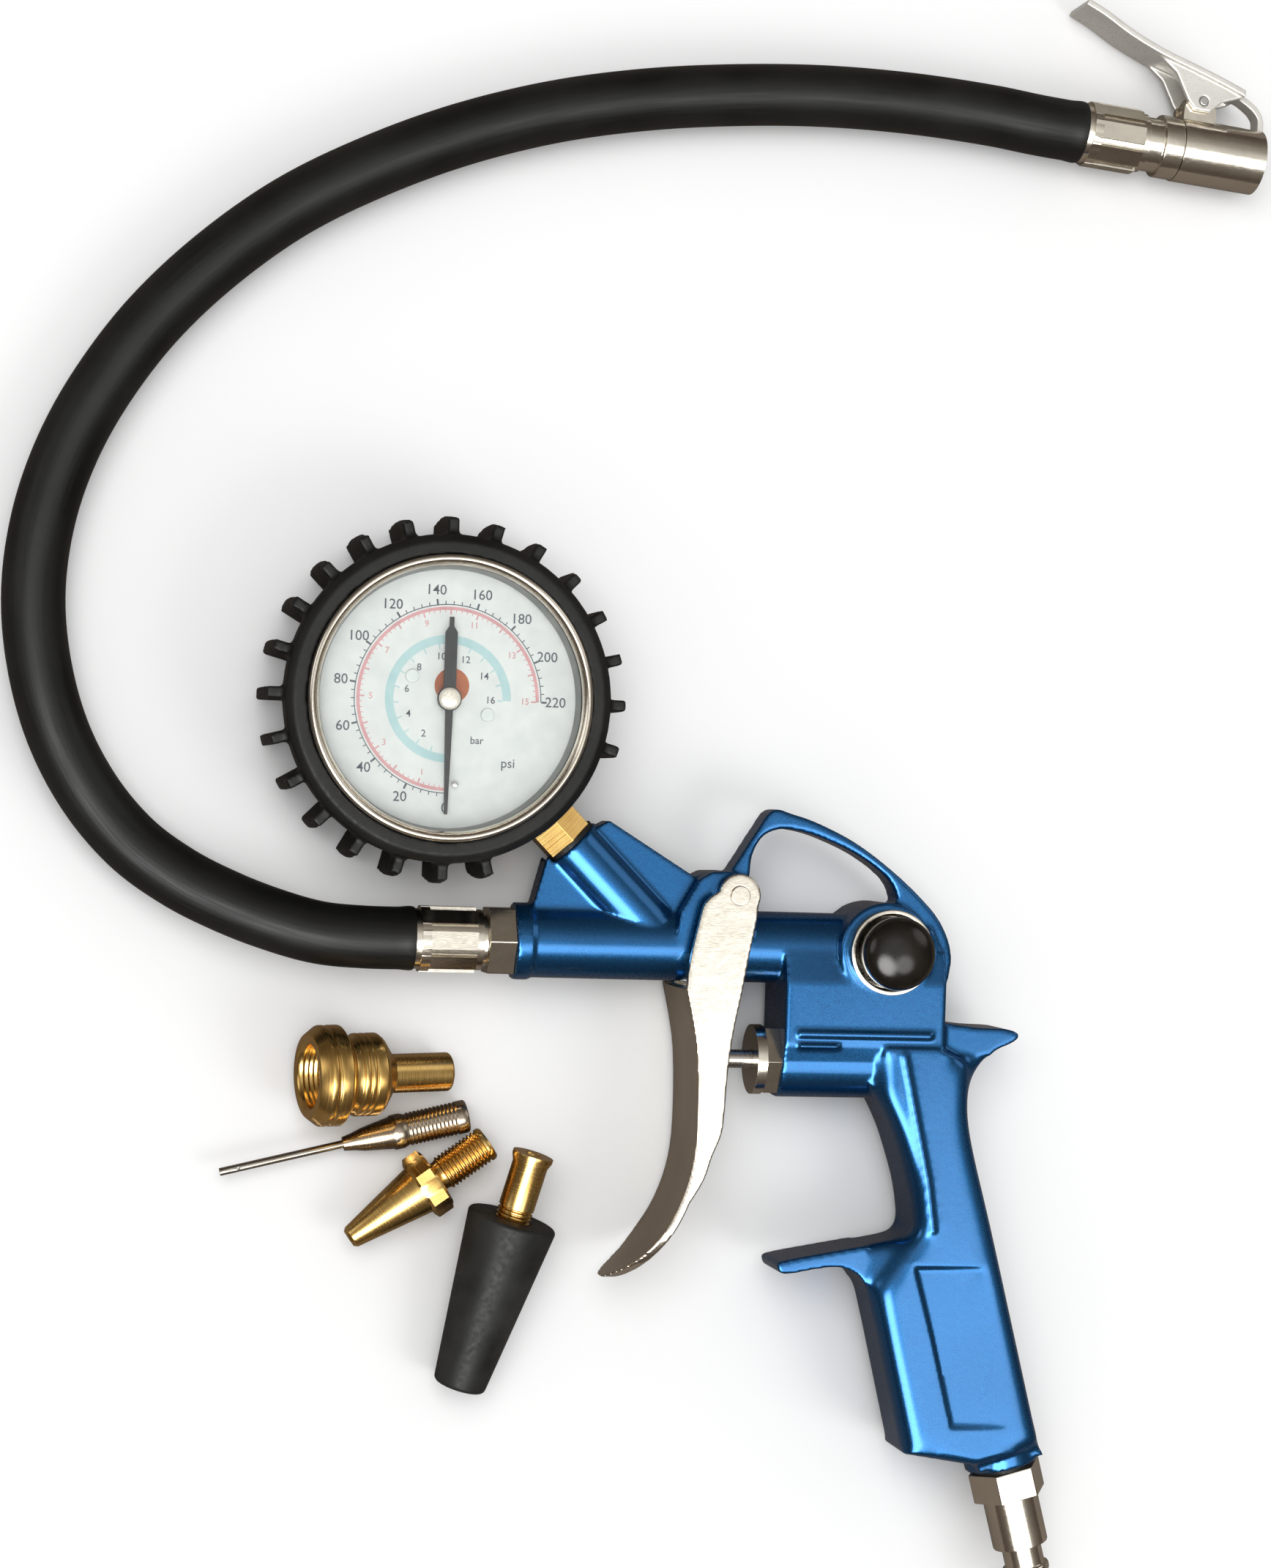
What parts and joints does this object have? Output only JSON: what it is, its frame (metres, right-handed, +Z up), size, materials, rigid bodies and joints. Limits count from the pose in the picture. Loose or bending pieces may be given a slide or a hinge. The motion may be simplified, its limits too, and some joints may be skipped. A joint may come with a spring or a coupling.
{
  "type": "tyre inflator with gauge",
  "caption": "Hand-held tyre inflator gun with a round dial gauge in a ribbed rubber boot, a trigger lever, a hose with a clip-on chuck, and loose adapters.",
  "frame": {"origin": "on the gauge's axis at the back face of its boot, on the surface that the gun lies on", "axes": "+X runs along the barrel from the hose to the grip, +Y points from the grip to the gauge in the gun's own plane, +Z points up out of the dial along the gauge axis"},
  "size_m": [0.2778, 0.3611, 0.035],
  "materials": {
    "blue_paint": "metallic gloss",
    "bright_nickel": "bright",
    "satin_nickel": "satin",
    "brass": "turned",
    "steel": "turned",
    "black_rubber": "matt",
    "black_button": "gloss",
    "clear_glass": "clear",
    "white_dial": "matt",
    "black_needle": "satin"
  },
  "bodies": {
    "gun": {"body_casting": "blue_paint", "trigger_pin": "bright_nickel", "gland_nut": "bright_nickel", "stem_seal": "black_rubber", "valve_seat": "brass", "valve_spring": "steel", "bleed_collar": "bright_nickel", "bleed_spring": "steel", "inlet_plug": "bright_nickel", "inlet_seal": "black_rubber", "hose_fitting": "bright_nickel", "hose_ferrule": "bright_nickel", "hose": "black_rubber", "chuck_ferrule": "bright_nickel", "chuck_stem": "bright_nickel", "chuck_body": "bright_nickel", "chuck_seal": "black_rubber", "chuck_core_pin": "brass", "chuck_pin": "steel", "chuck_spring": "steel", "gauge_boot": "black_rubber", "gauge_case": "steel", "case_screws": "steel", "gauge_bezel": "bright_nickel", "gauge_lens": "clear_glass", "lens_gasket": "black_rubber", "gauge_dial": "white_dial", "dial_screws": "brass", "needle_stop": "steel", "gauge_socket": "brass", "socket_washer": "black_rubber", "bourdon_tube": "brass", "movement_plates": "brass", "movement_pillars": "brass", "hairspring": "steel"},
    "trigger": {"trigger_lever": "bright_nickel"},
    "valve": {"valve_stem": "steel", "valve_poppet": "black_rubber"},
    "bleed": {"bleed_button": "black_button", "bleed_poppet": "black_rubber"},
    "chuck_clip": {"chuck_lever": "bright_nickel"},
    "needle": {"gauge_needle": "black_needle", "needle_hub": "brass", "pinion_shaft": "steel"},
    "sector": {"sector_gear": "brass"},
    "link": {"tube_link": "steel"},
    "coupling_adapter": {"coupling_body": "brass", "coupling_seal": "black_rubber", "coupling_pin": "steel"},
    "ball_adapter": {"ball_needle_hub": "satin_nickel", "ball_needle_tube": "steel"},
    "nozzle_adapter": {"taper_nozzle": "brass"},
    "cone_adapter": {"cone_tube": "brass", "rubber_cone": "black_rubber"}
  },
  "joints": [
    {"name": "trigger_hinge", "type": "hinge", "parent": "gun", "child": "trigger", "pos_m": [0.0648, -0.0396, 0.013], "axis": [0, 0, 1], "range_deg": [0, 8], "stiffness_Nm_per_rad": 2, "springref_deg": -5.73},
    {"name": "valve_slide", "type": "slide", "parent": "gun", "child": "valve", "axis": [1, 0, 0], "range_m": [0, 0.0056], "deforming": ["valve_spring"]},
    {"name": "bleed_slide", "type": "slide", "parent": "gun", "child": "bleed", "axis": [0, 0, -1], "range_m": [0, 0.0028], "stiffness_N_per_m": 1200, "springref_m": -0.002, "deforming": ["bleed_spring"]},
    {"name": "chuck_clip_hinge", "type": "hinge", "parent": "gun", "child": "chuck_clip", "pos_m": [0.16942, 0.14204, 0.0077], "axis": [0, 0, 1], "range_deg": [0, 18], "stiffness_Nm_per_rad": 0.2, "springref_deg": -5.73},
    {"name": "needle_spin", "type": "hinge", "parent": "gun", "child": "needle", "pos_m": [0, 0, 0.025], "axis": [0, 0, -1], "range_deg": [0, 270], "stiffness_Nm_per_rad": 0.00002, "springref_deg": -5.73},
    {"name": "sector_turn", "type": "hinge", "parent": "gun", "child": "sector", "pos_m": [-0.0124, -0.00451, 0.013], "axis": [0, 0, -1], "range_deg": [-27.5, 0.5]},
    {"name": "link_swing", "type": "hinge", "parent": "sector", "child": "link", "pos_m": [-0.01547, -0.00194, 0.0137], "axis": [0, 0, -1], "range_deg": [-0.5, 19]},
    {"name": "coupling_lift", "type": "slide", "parent": "gun", "child": "coupling_adapter", "axis": [0, 0, 1], "range_m": [0, 0.06]},
    {"name": "ball_lift", "type": "slide", "parent": "gun", "child": "ball_adapter", "axis": [0, 0, 1], "range_m": [0, 0.06]},
    {"name": "nozzle_lift", "type": "slide", "parent": "gun", "child": "nozzle_adapter", "axis": [0, 0, 1], "range_m": [0, 0.06]},
    {"name": "cone_lift", "type": "slide", "parent": "gun", "child": "cone_adapter", "axis": [0, 0, 1], "range_m": [0, 0.06]}
  ],
  "couplings": [
    {"joint": "valve_slide", "follows": "trigger_hinge", "m_per_rad": 0.0375},
    {"joint": "sector_turn", "follows": "needle_spin", "ratio": -0.1},
    {"joint": "link_swing", "follows": "needle_spin", "ratio": 0.068}
  ]
}
